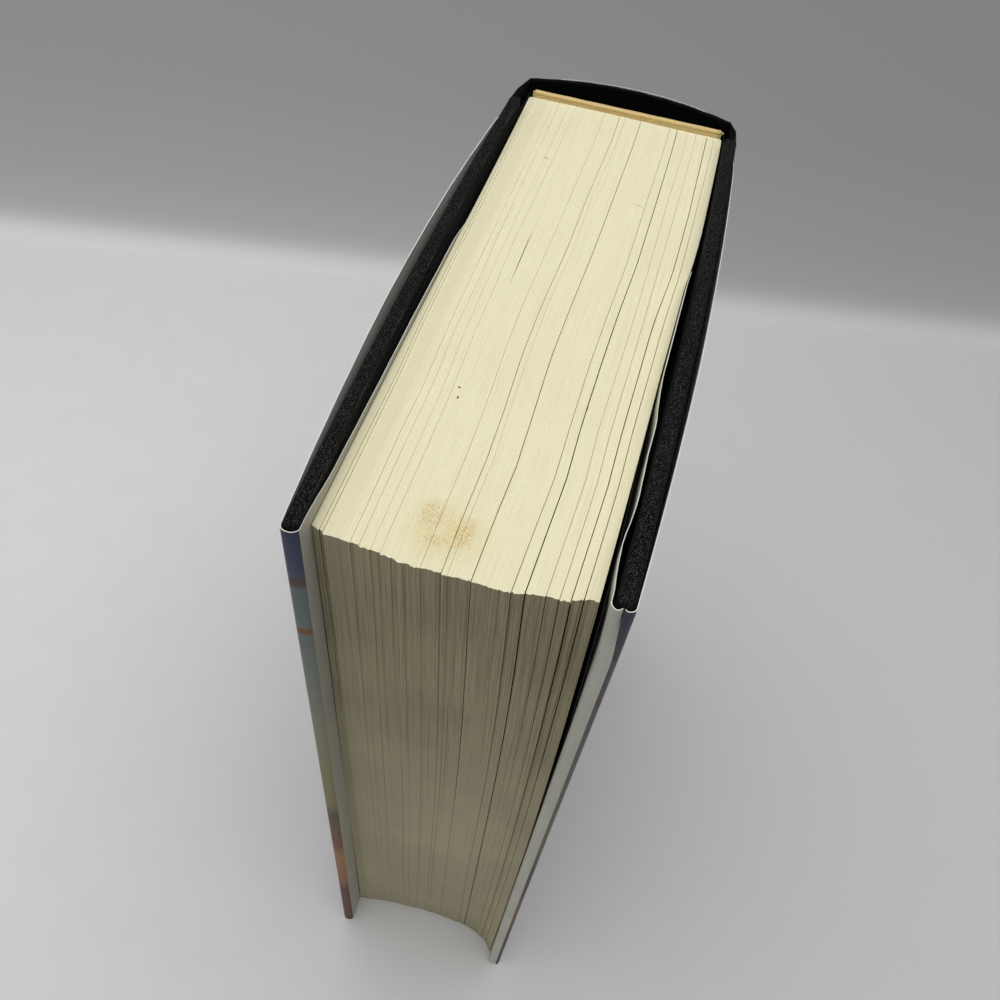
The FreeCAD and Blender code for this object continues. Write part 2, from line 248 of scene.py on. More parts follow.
def fade(tree, value, low, high, to_low=0.0, to_high=1.0):
    return add(tree, "ShaderNodeMapRange", {"Value": value, "From Min": low, "From Max": high,
                                            "To Min": to_low, "To Max": to_high},
               interpolation_type="SMOOTHSTEP").outputs[0]


def mix(tree, factor, first, second, blend="MIX"):
    first, second = ((*value, 1.0) if isinstance(value, tuple) else value for value in (first, second))
    return add(tree, "ShaderNodeMix", {0: factor, 6: first, 7: second},
               data_type="RGBA", blend_type=blend).outputs[2]


def tint(tree, base, value, low, high, most, colour):
    """The base with up to a share of another colour in it, as a value goes from low to high."""
    return mix(tree, fade(tree, value, low, high, 0.0, most), base, colour)


def grey(value):
    return (value,) * 3


def blob(tree, coords, centre, radii, soft):
    """1 inside an ellipse on the head, 0 outside; soft is the width of its rim."""
    away = vector(tree, "MULTIPLY", vector(tree, "SUBTRACT", coords, (*centre, 0.0)),
                  (1.0 / radii[0], 1.0 / radii[1], 0.0))
    length = add(tree, "ShaderNodeVectorMath", {0: away}, operation="LENGTH").outputs["Value"]
    return fade(tree, length, 1.0, 1.0 - soft)


def surface(tree, colour, rough, specular=0.5):
    bsdf = tree.nodes["Principled BSDF"]
    tree.links.new(colour, bsdf.inputs["Base Color"])
    bsdf.inputs["Roughness"].default_value = rough
    bsdf.inputs["Specular IOR Level"].default_value = specular
    return bsdf


def bump(tree, height, strength, distance):
    node = add(tree, "ShaderNodeBump", {"Height": height, "Strength": strength, "Distance": distance})
    tree.links.new(node.outputs["Normal"], tree.nodes["Principled BSDF"].inputs["Normal"])


def seen_directly(tree):
    """1 for what the camera sees, straight or mirrored, and 0 for light that only bounces."""
    path = add(tree, "ShaderNodeLightPath")
    return maths(tree, "MAXIMUM", path.outputs["Is Camera Ray"], path.outputs["Is Glossy Ray"])


def fore_edge_shaded_colour(tree, z, across, fine, wide, broad):
    """Edges of the same cream leaves as on the head, painted grey-brown as the shade that the fore-edge
    stands in; paler towards the tail.
    """
    cloud = fade(tree, broad, 0.3, 0.7)
    lined = ramp(tree, fine, [(0.32, (0.21, 0.18, 0.105)), (0.48, (0.36, 0.318, 0.202)),
                              (0.66, (0.46, 0.41, 0.275))])
    plain = mix(tree, cloud, (0.315, 0.278, 0.178), (0.345, 0.305, 0.196))
    lower = mix(tree, cloud, (0.45, 0.405, 0.27), (0.49, 0.44, 0.29))
    low = fade(tree, z, 215.0, 90.0)
    # Lines stand out at the head towards the back cover, and fade to the tail and to the front
    clear_lines = times(tree, fade(tree, across, 4.0, 24.0, 0.6, 1.0),
                        maths(tree, "MULTIPLY_ADD", low, -0.7, 1.0))
    base = mix(tree, clear_lines, mix(tree, low, plain, lower), mix(tree, low, lined, lower))
    # Painted shade: dark lines in the gaps between leaves
    gap_shade_lines = times(tree, fade(tree, wide, 0.44, 0.30, 0.0, 0.6), clear_lines)
    return mix(tree, gap_shade_lines, base, (0.16, 0.135, 0.08))


def head_colour(tree, rest, fine, wide):
    """Cream edges of leaves with darker lines of painted shade between them, and some brown grit."""
    base = ramp(tree, fine, [(0.30, (0.74, 0.69, 0.46)), (0.47, (0.85, 0.80, 0.55)),
                             (0.65, (0.88, 0.83, 0.58))])
    # Painted shade in the lines between leaves
    base = tint(tree, base, wide, 0.34, 0.22, 0.35, (0.60, 0.55, 0.37))
    grit = noise(tree, rest, 2.6, 3.0, 0.75)
    return tint(tree, base, grit, 0.50, 0.30, 0.30, (0.68, 0.56, 0.34))


def head_marks(tree, rest, across, base):
    x, y, _ = split(tree, rest)
    # Painted shade in a strip a few millimetres in from the front side
    painted_shade_strip = times(tree, fade(tree, across, 2.2, 3.0), fade(tree, across, 7.0, 4.5))
    base = mix(tree, times(tree, painted_shade_strip, 0.5), base, (0.70, 0.65, 0.44))
    # Leaves near both sides stand a little apart and are greyer: painted shade beside the taller boards, and
    # partly worn leaves
    side = maths(tree, "MAXIMUM", fade(tree, across, 3.0, 0.4), fade(tree, across, 44.5, 49.0, 0.0, 0.8))
    base = mix(tree, times(tree, side, 0.4), base, (0.50, 0.47, 0.33))
    # Brown stain near the fore-edge: a wash over its area, and dots that gather in three cores
    grain = flat_coords(tree, x, times(tree, y, 0.28))
    mottle = noise(tree, grain, 0.7, 5.0, 0.7)
    spots = noise(tree, grain, 5.5, 2.0, 0.6)
    area = blob(tree, rest, (-4.6, -145.8), (9.6, 8.6), 0.8)
    core = blob(tree, rest, (-6.0, -148.0), (2.8, 1.4), 0.7)
    for centre, radii in (((-1.7, -145.4), (2.2, 4.6)), ((-8.4, -142.6), (3.0, 4.4))):
        core = maths(tree, "MAXIMUM", core, blob(tree, rest, centre, radii, 0.8))
    wash = times(tree, area, fade(tree, mottle, 0.34, 0.60))
    base = mix(tree, times(tree, wash, 0.55), base, (0.82, 0.64, 0.29))
    dots = times(tree, maths(tree, "ADD", core, times(tree, area, 0.45), clamp=True),
                 fade(tree, spots, 0.40, 0.62))
    base = mix(tree, times(tree, dots, 0.60), base, (0.55, 0.345, 0.12))
    # Two specks, a faint scratch and a scuff
    for centre, radii in (((-12.6, -112.2), (0.42, 0.32)), ((-12.1, -114.9), (0.3, 0.5))):
        base = mix(tree, blob(tree, rest, centre, radii, 0.6), base, (0.12, 0.09, 0.05))
    slope = maths(tree, "MULTIPLY_ADD", x, 0.33, maths(tree, "ADD", y, 35.5))
    on_line = fade(tree, maths(tree, "ABSOLUTE", slope), 0.22, 0.05)
    in_run = times(tree, fade(tree, x, 8.0, 8.8), fade(tree, x, 12.2, 11.2))
    base = mix(tree, times(tree, times(tree, on_line, in_run), 0.45), base, (0.35, 0.32, 0.2))
    return mix(tree, blob(tree, rest, (-15.3, -27.5), (1.0, 0.45), 0.8), base, (0.45, 0.41, 0.29))


def page_material(name, on_head):
    made, tree = material(name)
    rest, across, deep = at_rest(tree), point_value(tree, "across"), point_value(tree, "deep")
    _, y, z = split(tree, rest)
    lines = flat_coords(tree, across, times(tree, y if on_head else z, 0.006))
    fine = noise(tree, lines, 7.0, 3.0, 0.7)
    wide = noise(tree, lines, 1.3, 2.0, 0.6)
    broad = noise(tree, rest, 0.035, 2.0)
    if on_head:
        base = head_colour(tree, rest, fine, wide)
    else:
        base = fore_edge_shaded_colour(tree, z, across, fine, wide, broad)
    base = tint(tree, base, broad, 0.35, 0.7, 0.12, (0.72, 0.66, 0.40))
    if on_head:
        base = head_marks(tree, rest, across, base)
    # Painted shade at the bottom of the deeper gaps between sections, darkest where a gap is deepest
    gap_shade_range = (0.1, 0.5) if on_head else (0.0, 0.3)
    base = tint(tree, base, deep, *gap_shade_range, 0.95, (0.02, 0.016, 0.010))
    surface(tree, base, 0.85, 0.25)
    bump(tree, fine, 0.5 if on_head else 0.2, 0.0001)
    return made


def cloth_material(name, light):
    """Black book cloth; light scales its pale specks, and a low light paints the cloth in shade."""
    made, tree = material(name)
    rest = at_rest(tree)
    fine = noise(tree, rest, 3.8, 3.0, 0.75)
    worn = noise(tree, rest, 0.06, 3.0, 0.6)
    cells = add(tree, "ShaderNodeTexVoronoi", {"Vector": rest, "Scale": 3.7}).outputs["Distance"]
    height = maths(tree, "MULTIPLY_ADD", cells, -0.5, maths(tree, "ADD", fine, 0.27))
    base = ramp(tree, height, [(0.36, grey(0.0006)), (0.56, grey(0.004 * light)),
                               (0.74, grey(0.068 * light))])
    base = tint(tree, base, worn, 0.5, 0.8, 0.25, grey(0.014 * light))
    surface(tree, base, 0.75, 0.06)
    bump(tree, height, 0.7, 0.00015)
    return made


def print_material():
    """Jacket print: soft bands of colour from a navy sky to a red and ochre ground, with two bars."""
    made, tree = material("jacket_print")
    rest = at_rest(tree)
    x, _, z = split(tree, rest)
    drift = noise(tree, vector(tree, "MULTIPLY", rest, (0.6, 0.6, 1.6)), 0.03, 4.0, 0.55)
    level = maths(tree, "ADD", z, maths(tree, "MULTIPLY_ADD", drift, 14.0, -7.0))
    share = maths(tree, "DIVIDE", level, COVER_TOP, clamp=True)
    base = ramp(tree, share, [
        (0.00, (0.24, 0.075, 0.070)), (0.16, (0.26, 0.10, 0.085)), (0.21, (0.62, 0.27, 0.10)),
        (0.30, (0.66, 0.38, 0.13)), (0.34, (0.42, 0.15, 0.10)), (0.40, (0.32, 0.19, 0.14)),
        (0.45, (0.22, 0.18, 0.13)), (0.50, (0.50, 0.44, 0.21)), (0.62, (0.52, 0.50, 0.31)),
        (0.72, (0.46, 0.49, 0.40)), (0.85, (0.34, 0.41, 0.40)), (0.925, (0.24, 0.33, 0.36)),
        (0.945, (0.11, 0.15, 0.26)), (1.00, (0.065, 0.085, 0.18))])
    for centre, half, colour in ((0.867, 0.007, (0.46, 0.15, 0.07)), (0.932, 0.009, (0.20, 0.11, 0.085))):
        away = maths(tree, "ABSOLUTE", maths(tree, "SUBTRACT", share, centre))
        base = tint(tree, base, away, half, half * 0.5, 0.85, colour)
    mottled = noise(tree, rest, 0.07, 3.0, 0.55)
    dull_and_shade = (0.10, 0.10, 0.11)
    base = tint(tree, base, mottled, 0.50, 0.78, 0.25, (0.46, 0.46, 0.38))
    base = tint(tree, base, mottled, 0.46, 0.22, 0.22, dull_and_shade)
    # Painted shade: greyer and darker towards the back cover, which faces away from the lamp
    base = tint(tree, base, x, 15.0, 28.0, 0.55, dull_and_shade)
    base = mix(tree, 1.0, base, (0.54, 0.52, 0.49), "MULTIPLY")
    surface(tree, base, 0.5, 0.2)
    bump(tree, noise(tree, rest, 0.5, 2.0), 0.06, 0.0004)
    return made


def fibrous(tree, coords, colour, dark, grain, cloud, fibres):
    """A colour with clouds and fibres of a darker one, and the fibres for a bump."""
    fibre = noise(tree, coords, grain, 3.0, 0.65)
    base = tint(tree, colour, noise(tree, coords, cloud, 3.0), 0.35, 0.7, 0.6, dark)
    return tint(tree, base, fibre, *fibres, dark), fibre


def paper_material(name, colour, dark, rough):
    made, tree = material(name)
    base, fibre = fibrous(tree, at_rest(tree), colour, dark, 3.0, 0.05, (0.5, 0.8, 0.25))
    surface(tree, base, rough, 0.3)
    bump(tree, fibre, 0.18, 0.00008)
    return made


def node_material(name, colour, dark, rough, grain):
    """For nodes kept from the solids, which carry no rest attribute and are in metres."""
    made, tree = material(name)
    coords = vector(tree, "MULTIPLY", own_coords(tree), (1.0 / MM,) * 3)
    base, fibre = fibrous(tree, coords, colour, dark, grain, 0.08, (0.45, 0.75, 0.5))
    surface(tree, base, rough)
    bump(tree, fibre, 0.4, 0.0001)
    return made


def band_material():
    """Gold thread over a cord, darker towards its back with painted shade along the back edge, and darker at
    both ends.
    """
    made, tree = material("band_thread")
    rest = at_rest(tree)
    x, y, _ = split(tree, rest)
    thread = maths(tree, "SINE", times(tree, x, 9.0))
    worn = noise(tree, rest, 0.5, 3.0, 0.6)
    base = mix(tree, fade(tree, y, 0.8, 1.3), (0.86, 0.65, 0.27), (0.64, 0.445, 0.165))
    base = tint(tree, base, thread, -0.2, -1.0, 0.3, (0.48, 0.33, 0.12))
    base = tint(tree, base, worn, 0.45, 0.7, 0.4, (0.68, 0.50, 0.24))
    # Painted shade along the bead's back edge, where it goes into the hollow
    base = tint(tree, base, y, 1.55, 2.0, 0.75, (0.16, 0.11, 0.045))
    ends = maths(tree, "ABSOLUTE", x)
    base = tint(tree, base, ends, 24.3, 26.2, 0.7, (0.30, 0.30, 0.11))
    surface(tree, base, 0.5).inputs["Sheen Weight"].default_value = 0.3
    bump(tree, thread, 0.2, 0.00008)
    return made


head_paper = page_material("page_head", True)
shaded_fore_paper = page_material("page_fore_edge_painted_shade", False)
cloth_black = cloth_material("case_cloth_black", 1.0)
# The same cloth painted darker, as shade in the hollow behind the spine
shaded_cloth_inside = cloth_material("case_cloth_painted_shade", 0.25)
jacket_print = print_material()
jacket_white = paper_material("jacket_white", (0.76, 0.755, 0.70), (0.68, 0.67, 0.60), 0.55)
# The flaps are the jacket's white paper painted darker with the shade they stand in, the front one more
shaded_flap_paper = {"front": paper_material("flap_paper_front_painted_shade", (0.49, 0.475, 0.405), (0.43, 0.415, 0.34), 0.6),
               "back": paper_material("flap_paper_back_painted_shade", (0.62, 0.61, 0.535), (0.54, 0.53, 0.45), 0.6)}
endpaper = paper_material("endpaper_black", (0.008, 0.008, 0.0083), (0.017, 0.0167, 0.0165), 0.8)
band_thread = band_material()

# Text block: one closed mesh whose columns follow the gaps between the sections

STATIONS = np.array([-151.2, -138.0, -126.0, -112.0, -97.0, -80.0, -61.0, -39.0, -15.0, 0.0])
# Places of each gap across the block at the eight middle stations, then its width at the fore-edge and at
# the spine, its depth at the fore-edge and on the head, and how far down the fore-edge it shows
GAPS = (
    ((-25.1, -25.1, -25.0, -25.4, -25.5, -25.5, -25.5, -25.3), 0.14, 0.08, 1.6, 0.4, 160),
    ((-24.4, -24.4, -24.4, -24.8, -24.9, -24.9, -24.8, -24.7), 0.14, 0.07, 1.6, 0.4, 160),
    ((-19.4, -19.5, -19.2, -19.7, -19.8, -19.7, -19.6, -19.3), 0.09, 0.04, 1.0, 0.25, 70),
    ((-17.8, -17.8, -17.6, -18.2, -18.0, -18.2, -18.1, -17.9), 0.08, 0.06, 1.0, 0.25, 60),
    ((-15.7, -15.6, -15.5, -16.1, -16.2, -16.1, -15.8, -15.5), 0.07, 0.05, 1.4, 0.2, 150),
    ((-13.9, -13.7, -13.7, -14.2, -14.2, -14.3, -13.8, -13.3), 0.08, 0.06, 1.2, 0.25, 110),
    ((-11.2, -11.2, -11.3, -11.4, -11.4, -11.3, -11.1, -10.9), 0.02, 0.02, 0.2, 0.05, 40),
    ((-6.7, -6.4, -6.5, -7.0, -7.0, -6.4, -5.9, -5.3), 0.09, 0.06, 1.4, 0.3, 90),
    ((-3.1, -2.7, -2.9, -3.4, -3.2, -2.3, -2.0, -1.2), 0.16, 0.12, 2.0, 0.7, 170),
    ((-2.0, -1.5, -1.8, -2.1, -2.0, -1.0, -0.9, 0.3), 0.06, 0.05, 1.0, 0.2, 60),
    ((2.3, 2.8, 2.6, 2.3, 2.7, 3.5, 4.0, 4.5), 0.22, 0.16, 2.6, 0.6, 200),
    ((9.5, 10.0, 10.0, 10.1, 10.7, 11.6, 11.9, 12.4), 0.16, 0.08, 1.8, 0.6, 140),
    ((11.7, 12.1, 12.0, 12.3, 12.8, 13.8, 14.2, 14.5), 1.05, 0.17, 6.0, 4.0, 215),
    ((15.1, 15.5, 15.3, 15.8, 16.3, 16.6, 16.8, 17.3), 0.14, 0.05, 1.8, 0.3, 130),
    ((17.3, 17.6, 17.6, 18.0, 18.4, 18.8, 19.2, 19.6), 0.16, 0.06, 2.0, 0.35, 150),
    ((19.2, 19.6, 19.7, 20.1, 20.5, 22.0, 22.5, 22.5), 0.26, 0.20, 2.6, 1.4, 200),
    ((21.2, 21.5, 21.6, 22.1, 22.6, 23.6, 24.0, 24.4), 0.27, 0.07, 2.2, 0.6, 140),
)
GAP_DEPTH = 3           # place of the fore-edge depth in a row
SHORT_SLIT, SLIT_ALONG = 6, 66.0        # the gap that opens halfway along the head, and where
# Rim of the fore-edge at the head, (across, from the spine), and how far each section steps out of it
FORE_LINE = ((-26.65, -151.5), (-25.9, -151.65), (-25.6, -151.85), (-24.5, -152.1), (-24.4, -152.4),
             (-21.0, -152.55), (-18.5, -152.8), (-14.8, -153.4), (-13.0, -153.5), (-9.9, -153.85),
             (-6.1, -154.05), (-2.4, -154.15), (2.5, -153.95), (9.2, -154.05), (11.2, -153.5), (13.5, -153.0),
             (16.0, -153.0), (18.2, -152.6), (20.6, -151.4), (23.0, -151.0))
STEPS = np.array([0.0, 0.0, -0.1, 0.1, -0.1, 0.15, -0.05, -0.2, 0.15, -0.15, 0.1, -0.1, 0.12, 0.1, 0.05,
                  -0.12, 0.3, -0.1])

# Outer faces of the block on the head; the flap holds the back leaves in as far as it reaches
SIDE_STATIONS = (-151.2, -136.0, -116.0, -96.0, -76.0, -66.0, -56.0, -46.0, -26.0, -6.0, 0.0)
BACK_FACE = (22.85, 23.35, 23.9, 24.35, 25.0, 25.25, 26.0, 26.4, 26.5, 26.5, 26.3)
FRONT_FACE = (-26.65, -26.7, -26.7, -26.65, -26.55, -26.5, -26.4, -26.35, -26.3, -26.3, -26.3)
SPREAD = {-1: -0.05, 1: 1.8}            # across, from the head to the tail, at the fore-edge
SPREAD_POWER = 1.5                      # its growth from the spine to the fore-edge


def side_x(side, along):
    """Outer face of the block on the head, at a distance from the spine."""
    return np.interp(along, SIDE_STATIONS, FRONT_FACE if side < 0 else BACK_FACE)


def sink(down):
    """How far the leaves have moved over at a depth below the head."""
    near = np.clip(np.asarray(down) / 125.0, 0.0, 1.0)
    return 1.0 - (1.0 - near) ** 2


def spread_face(side, along, down):
    """Outer face of the block at a distance from the spine and below the head."""
    return side_x(side, along) + SPREAD[side] * sink(down) * (-along / BLOCK_DEPTH) ** SPREAD_POWER


def along_block(y, z):
    """Distance from the spine, along the leaning head, of a place in the book's frame."""
    return y - BLOCK_Y + (z - SQUARE) * math.sin(BLOCK_LEAN)


def gap_x(places, along):
    """Place of a gap across the block; those in the back half bend to the front at the fore-edge."""
    fan = 0.75 if places[0] > 9.0 else 0.3 if places[0] > 0.0 else 0.0
    fore_end = places[0] - (places[1] - places[0]) * 0.3 - fan
    return np.interp(along, STATIONS, np.array([fore_end, places[0] - 0.3 * fan, *places[1:], places[-1]]))


LEAF = 0.095            # least width of a column: about one leaf
columns = []            # (section, share inside it, gap number or -1, side of the gap or 0 for its bottom)
edges_at_fore = [FRONT_FACE[0], *(gap_x(row[0], -BLOCK_DEPTH) for row in GAPS), BACK_FACE[0]]
for section, span in enumerate(np.diff(edges_at_fore)):
    count = max(2, int(round(span / LEAF)))
    is_last = section == len(GAPS)
    columns += [(section, step / count, -1, 0) for step in range(int(section > 0), count + int(is_last))]
    if not is_last:
        columns += [(section, 1.0, section, role) for role in (-1, 0, 1)]
columns = np.array(columns)
column_section = columns[:, 0].astype(int)
column_gap = columns[:, 2].astype(int)
column_role = columns[:, 3]
in_bottom = (column_role == 0) & (column_gap >= 0)
groove_depth = np.array([GAPS[g][GAP_DEPTH] if g >= 0 else 0.0 for g in column_gap])
column_place = column_section + columns[:, 1]
across_fore = np.interp(column_place, np.arange(len(edges_at_fore)), edges_at_fore)
share_across = (across_fore - FRONT_FACE[0]) / (BACK_FACE[0] - FRONT_FACE[0])


def steps_of_leaves(size, longest):
    """One random value for each small bunch of leaves."""
    values = []
    while len(values) < len(columns):
        values += [rng.normal(0.0, size)] * int(rng.integers(1, longest + 1))
    return np.array(values[:len(columns)])


leaf_out = steps_of_leaves(0.045, 3) + steps_of_leaves(0.07, 9) + steps_of_leaves(0.05, 25)
leaf_out_low = steps_of_leaves(0.012, 4) + steps_of_leaves(0.04, 14)
leaf_up = steps_of_leaves(0.010, 4) + steps_of_leaves(0.015, 14)
leaf_out = leaf_out * np.interp(across_fore, (-26.0, -20.0, -8.0, 8.0, 22.0), (0.9, 0.45, 0.9, 1.0, 1.45))
head_fore = np.interp(across_fore, *zip(*FORE_LINE)) + STEPS[column_section]
swell = 4 * share_across * (1 - share_across)
tail_fore = -BLOCK_DEPTH - 4.6 * share_across ** 12 + 2.4 * swell + 0.5 * STEPS[column_section]
drift_side = np.interp(share_across, (0.0, 0.2, 0.45, 0.6, 0.77, 0.9, 1.0),
                       (SPREAD[-1], 0.3, 1.5, 1.8, 2.2, 2.0, SPREAD[1]))
ROUND = 0.8             # of the block's corners at the spine
SHALLOW_END = 0.12      # share of a gap's depth where it has closed


def block_surface(along, down, face):
    """Points of all columns at a share of the depth (1 at the fore-edge) and a distance below the head."""
    y = along * (head_fore + (tail_fore - head_fore) * (down / BLOCK_HEIGHT))
    base = -along * BLOCK_DEPTH
    knots = np.array([side_x(-1, base), *[gap_x(row[0], base) for row in GAPS], side_x(1, base)])
    x = np.interp(column_place, np.arange(len(knots)), knots)
    widths = np.zeros(len(columns))
    depths = np.zeros(len(columns))
    for number, (_, wide, narrow, deep, shallow, length) in enumerate(GAPS):
        width = narrow + (wide - narrow) * along ** (2.5 if wide > 1.0 else 1.5)
        if number == SHORT_SLIT and face == "head":
            width += 0.5 * math.exp(-((base + SLIT_ALONG) / 5.0) ** 2)
            shallow = 0.1 + 3.0 * math.exp(-((base + SLIT_ALONG - 1.0) / 6.5) ** 2)
        fading = SHALLOW_END if face == "tail" else max(SHALLOW_END, 1.0 - down / length)
        here = column_gap == number
        widths[here] = width * max(0.35, fading)
        depths[here] = shallow if face == "head" else deep * fading
    x = x + column_role * widths * 0.5
    x = x + drift_side * sink(down) * along ** SPREAD_POWER
    x = x * (1.0 - rounding(ROUND, abs(base)) / BLOCK_HALF)
    z = np.full(len(columns), BLOCK_HEIGHT - down)
    at_rim = along > 0.999
    if face == "head":
        z = z + leaf_up - in_bottom * depths
        z = z + 0.12 * np.sin(base * 0.05 + share_across * 5.0)
        if at_rim:
            y = y + leaf_out + in_bottom * groove_depth
    elif face == "fore":
        turn = ease(down / 130.0)
        y = y + leaf_out * (1 - turn) + leaf_out_low * turn + in_bottom * depths
        x = x + 0.10 * np.sin(down * 0.035 + share_across * 9.0) * ease(down / 30.0)
    else:
        z = z - leaf_up + in_bottom * 0.3
        if at_rim:
            y = y + leaf_out_low + in_bottom * depths
    return np.stack([x, y, z], axis=-1)


ALONG = np.array([1.0, 0.9985, 0.993, 0.98, 0.96, 0.93, 0.9, 0.865, 0.83, 0.79, 0.75, 0.71, 0.67, 0.63, 0.59,
                  0.55, 0.51, 0.47, 0.445, 0.42, 0.395, 0.37, 0.33, 0.29, 0.25, 0.21, 0.17, 0.13, 0.09, 0.05,
                  0.025, 0.0099, 0.005, 0.0025, 0.0008, 0.0])
DOWN = np.array([0.0, 0.4, 1.2, 3.0, 6.0, 10.0, 16.0, 22.0, 30.0, 38.0, 46.0, 56.0, 66.0, 76.0, 88.0, 100.0,
                 112.0, 124.0, 138.0, 152.0, 166.0, 180.0, 196.0, 212.0, 226.0, BLOCK_HEIGHT])
head = np.array([block_surface(a, 0.0, "head") for a in ALONG])
tail = np.array([block_surface(a, BLOCK_HEIGHT, "tail") for a in ALONG])
fore = np.array([block_surface(1.0, d, "fore") for d in DOWN])
fore[0], fore[-1] = head[0], tail[0]
part_down = (DOWN / BLOCK_HEIGHT)[:, None, None]
back = head[-1][None] + (tail[-1] - head[-1])[None] * part_down
sides = {}
for side, column in ((-1, 0), (1, -1)):
    grid = head[:, column] * (1 - part_down) + tail[:, column] * part_down
    drift = drift_side[column] * (sink(DOWN) - DOWN / BLOCK_HEIGHT)
    grid[..., 0] += drift[:, None] * ALONG ** SPREAD_POWER
    grid[:, 0], grid[:, -1] = fore[:, column], back[:, column]
    grid[0], grid[-1] = head[:, column], tail[:, column]
    sides[side] = grid

number_of = {}
block_points, block_across, block_gap_shade = [], [], []


def numbers(grid, across, deep):
    """Vertex numbers of a grid; points that two grids share get one number."""
    out = np.empty(grid.shape[:2], int)
    for row, column in np.ndindex(out.shape):
        key = tuple(np.round(grid[row, column], 5))
        if key not in number_of:
            number_of[key] = len(block_points)
            block_points.append(grid[row, column])
            block_across.append(across[column])
            block_gap_shade.append(deep[column])
        out[row, column] = number_of[key]
    return out


across_row = share_across * BLOCK_THICK
# Weight of the painted shade at each gap's bottom, from how deep the gap is
gap_shade_weight = in_bottom * np.minimum(1.0, groove_depth / 5.0) ** 1.5
nothing = np.zeros(len(ALONG))
block_faces, block_slots = [], []
for grid, flip, slot_number, across, deep in (
        (head, False, 0, across_row, gap_shade_weight), (tail, True, 0, across_row, gap_shade_weight),
        (fore, True, 1, across_row, gap_shade_weight), (back, False, 0, across_row, gap_shade_weight),
        (sides[-1], False, 0, nothing, nothing), (sides[1], True, 0, nothing + BLOCK_THICK, nothing)):
    made = grid_faces(numbers(grid, across, deep), flip)
    block_faces += made
    block_slots += [slot_number] * len(made)
kept = [(f, s) for f, s in zip(block_faces, block_slots) if len(set(f)) == 4]
block_local = np.array(block_points)
pages = make_object("page_block", block_point(block_local), [f for f, _ in kept], [head_paper, shaded_fore_paper],
                    [s for _, s in kept], extras={"across": block_across, "deep": block_gap_shade},
                    rest=block_local)
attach(pages, "book_block")
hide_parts("text_block")

# Head and tail bands: a corded bead with a skirt glued down the spine

def band_object(name, node, edge, way):
    """Bead and skirt as two closed forms in one piece."""
    across = np.linspace(-25.7, 26.5, 440)
    turns = np.radians(np.linspace(0, 360, 15)[:-1])
    thread = 1.0 + 0.035 * np.abs(np.sin(across * 4.5)) + 0.03 * np.sin(across * 0.7)
    droop = 1.0 - 0.5 * ease((np.abs(across - 0.3) - 25.2) / 0.8)
    radius = (thread * droop)[:, None]
    height = 0.85 + 0.62 * radius * np.sin(turns)[None] - 0.25 * (1 - droop)[:, None]
    bead = grid_points(across[:, None], 1.4 + 0.7 * radius * np.cos(turns)[None], edge + way * height)
    index, closed = tube_numbers(*bead.shape[:2])
    faces = grid_faces(closed, flip=way < 0)
    faces += [index[0].tolist()[::1 if way > 0 else -1], index[-1].tolist()[::-1 if way > 0 else 1]]
    points = bead.reshape(-1, 3)
    low, high = sorted((edge - 13.0 * way, edge + 0.75 * way))
    zs = np.linspace(low, high, 8)
    off = 0.16 + 0.9 * ease(way * (zs - edge) / 1.8 + 0.5)
    middle = grid_points(np.linspace(26.0, -25.6, 60), off[:, None], zs)
    more, more_faces, _ = sheet_parts(middle, 0.28, len(points))
    local = np.concatenate([points, more])
    obj = make_object(name, block_point(local), faces + more_faces, [band_thread],
                      smooth_angle=60, rest=local)
    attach(obj, "book_block")
    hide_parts(node)


band_object("head_band_threads", "head_band", BLOCK_HEIGHT, 1)
band_object("tail_band_threads", "tail_band", 0.0, -1)

# Case spine: cloth over card, with rounded edges at head and tail

def arc_points(half_width, drop, count):
    """Points of the spine curve from the front to the back, lowered by drop towards the block."""
    rise = 5.5
    radius = (half_width ** 2 + rise ** 2) / (2 * rise)
    angles = np.linspace(-1, 1, count) * math.asin(half_width / radius)
    x = radius * np.sin(angles)
    y = SHOULDER_Y - drop + rise - radius + radius * np.cos(angles)
    return x, y


def edge_rows(low, high, radius, middle_rows):
    """Heights with close rows near both rounded edges, and the inset at each."""
    turn = np.radians(np.linspace(90, 0, 6))
    lower = low + radius - radius * np.sin(turn)
    inset = radius - radius * np.cos(turn)
    heights = np.concatenate([lower, np.linspace(low + radius, high - radius, middle_rows)[1:-1],
                              (low + high) - lower[::-1]])
    insets = np.concatenate([inset, np.zeros(middle_rows - 2), inset[::-1]])
    return heights, insets


heights, insets = edge_rows(0.0, COVER_TOP, 0.5, 30)
xs, ys = arc_points(CASE_HALF, 0.6, 61)
middle = grid_points(xs[::-1] + BLOCK_X, ys[::-1], heights)
middle[..., 1] += 0.10 * np.sin(xs[::-1] * 0.9)[None] * ease((heights - 225.0) / 14.0)[:, None]
thick = np.broadcast_to((1.2 - 2 * insets)[:, None], middle.shape[:2])
# The spine's inner face and edges take the cloth with painted shade
spine_case = sheet_object("spine_case", middle, thick, [cloth_black, shaded_cloth_inside], 70)
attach(spine_case, "book_block")
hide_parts("spine_cloth")

# Covers in cloth: a bowed slab with rounded edges, and the strip that joins it to the spine

CASE_INNER = {"front": 3.44, "back": 3.7}


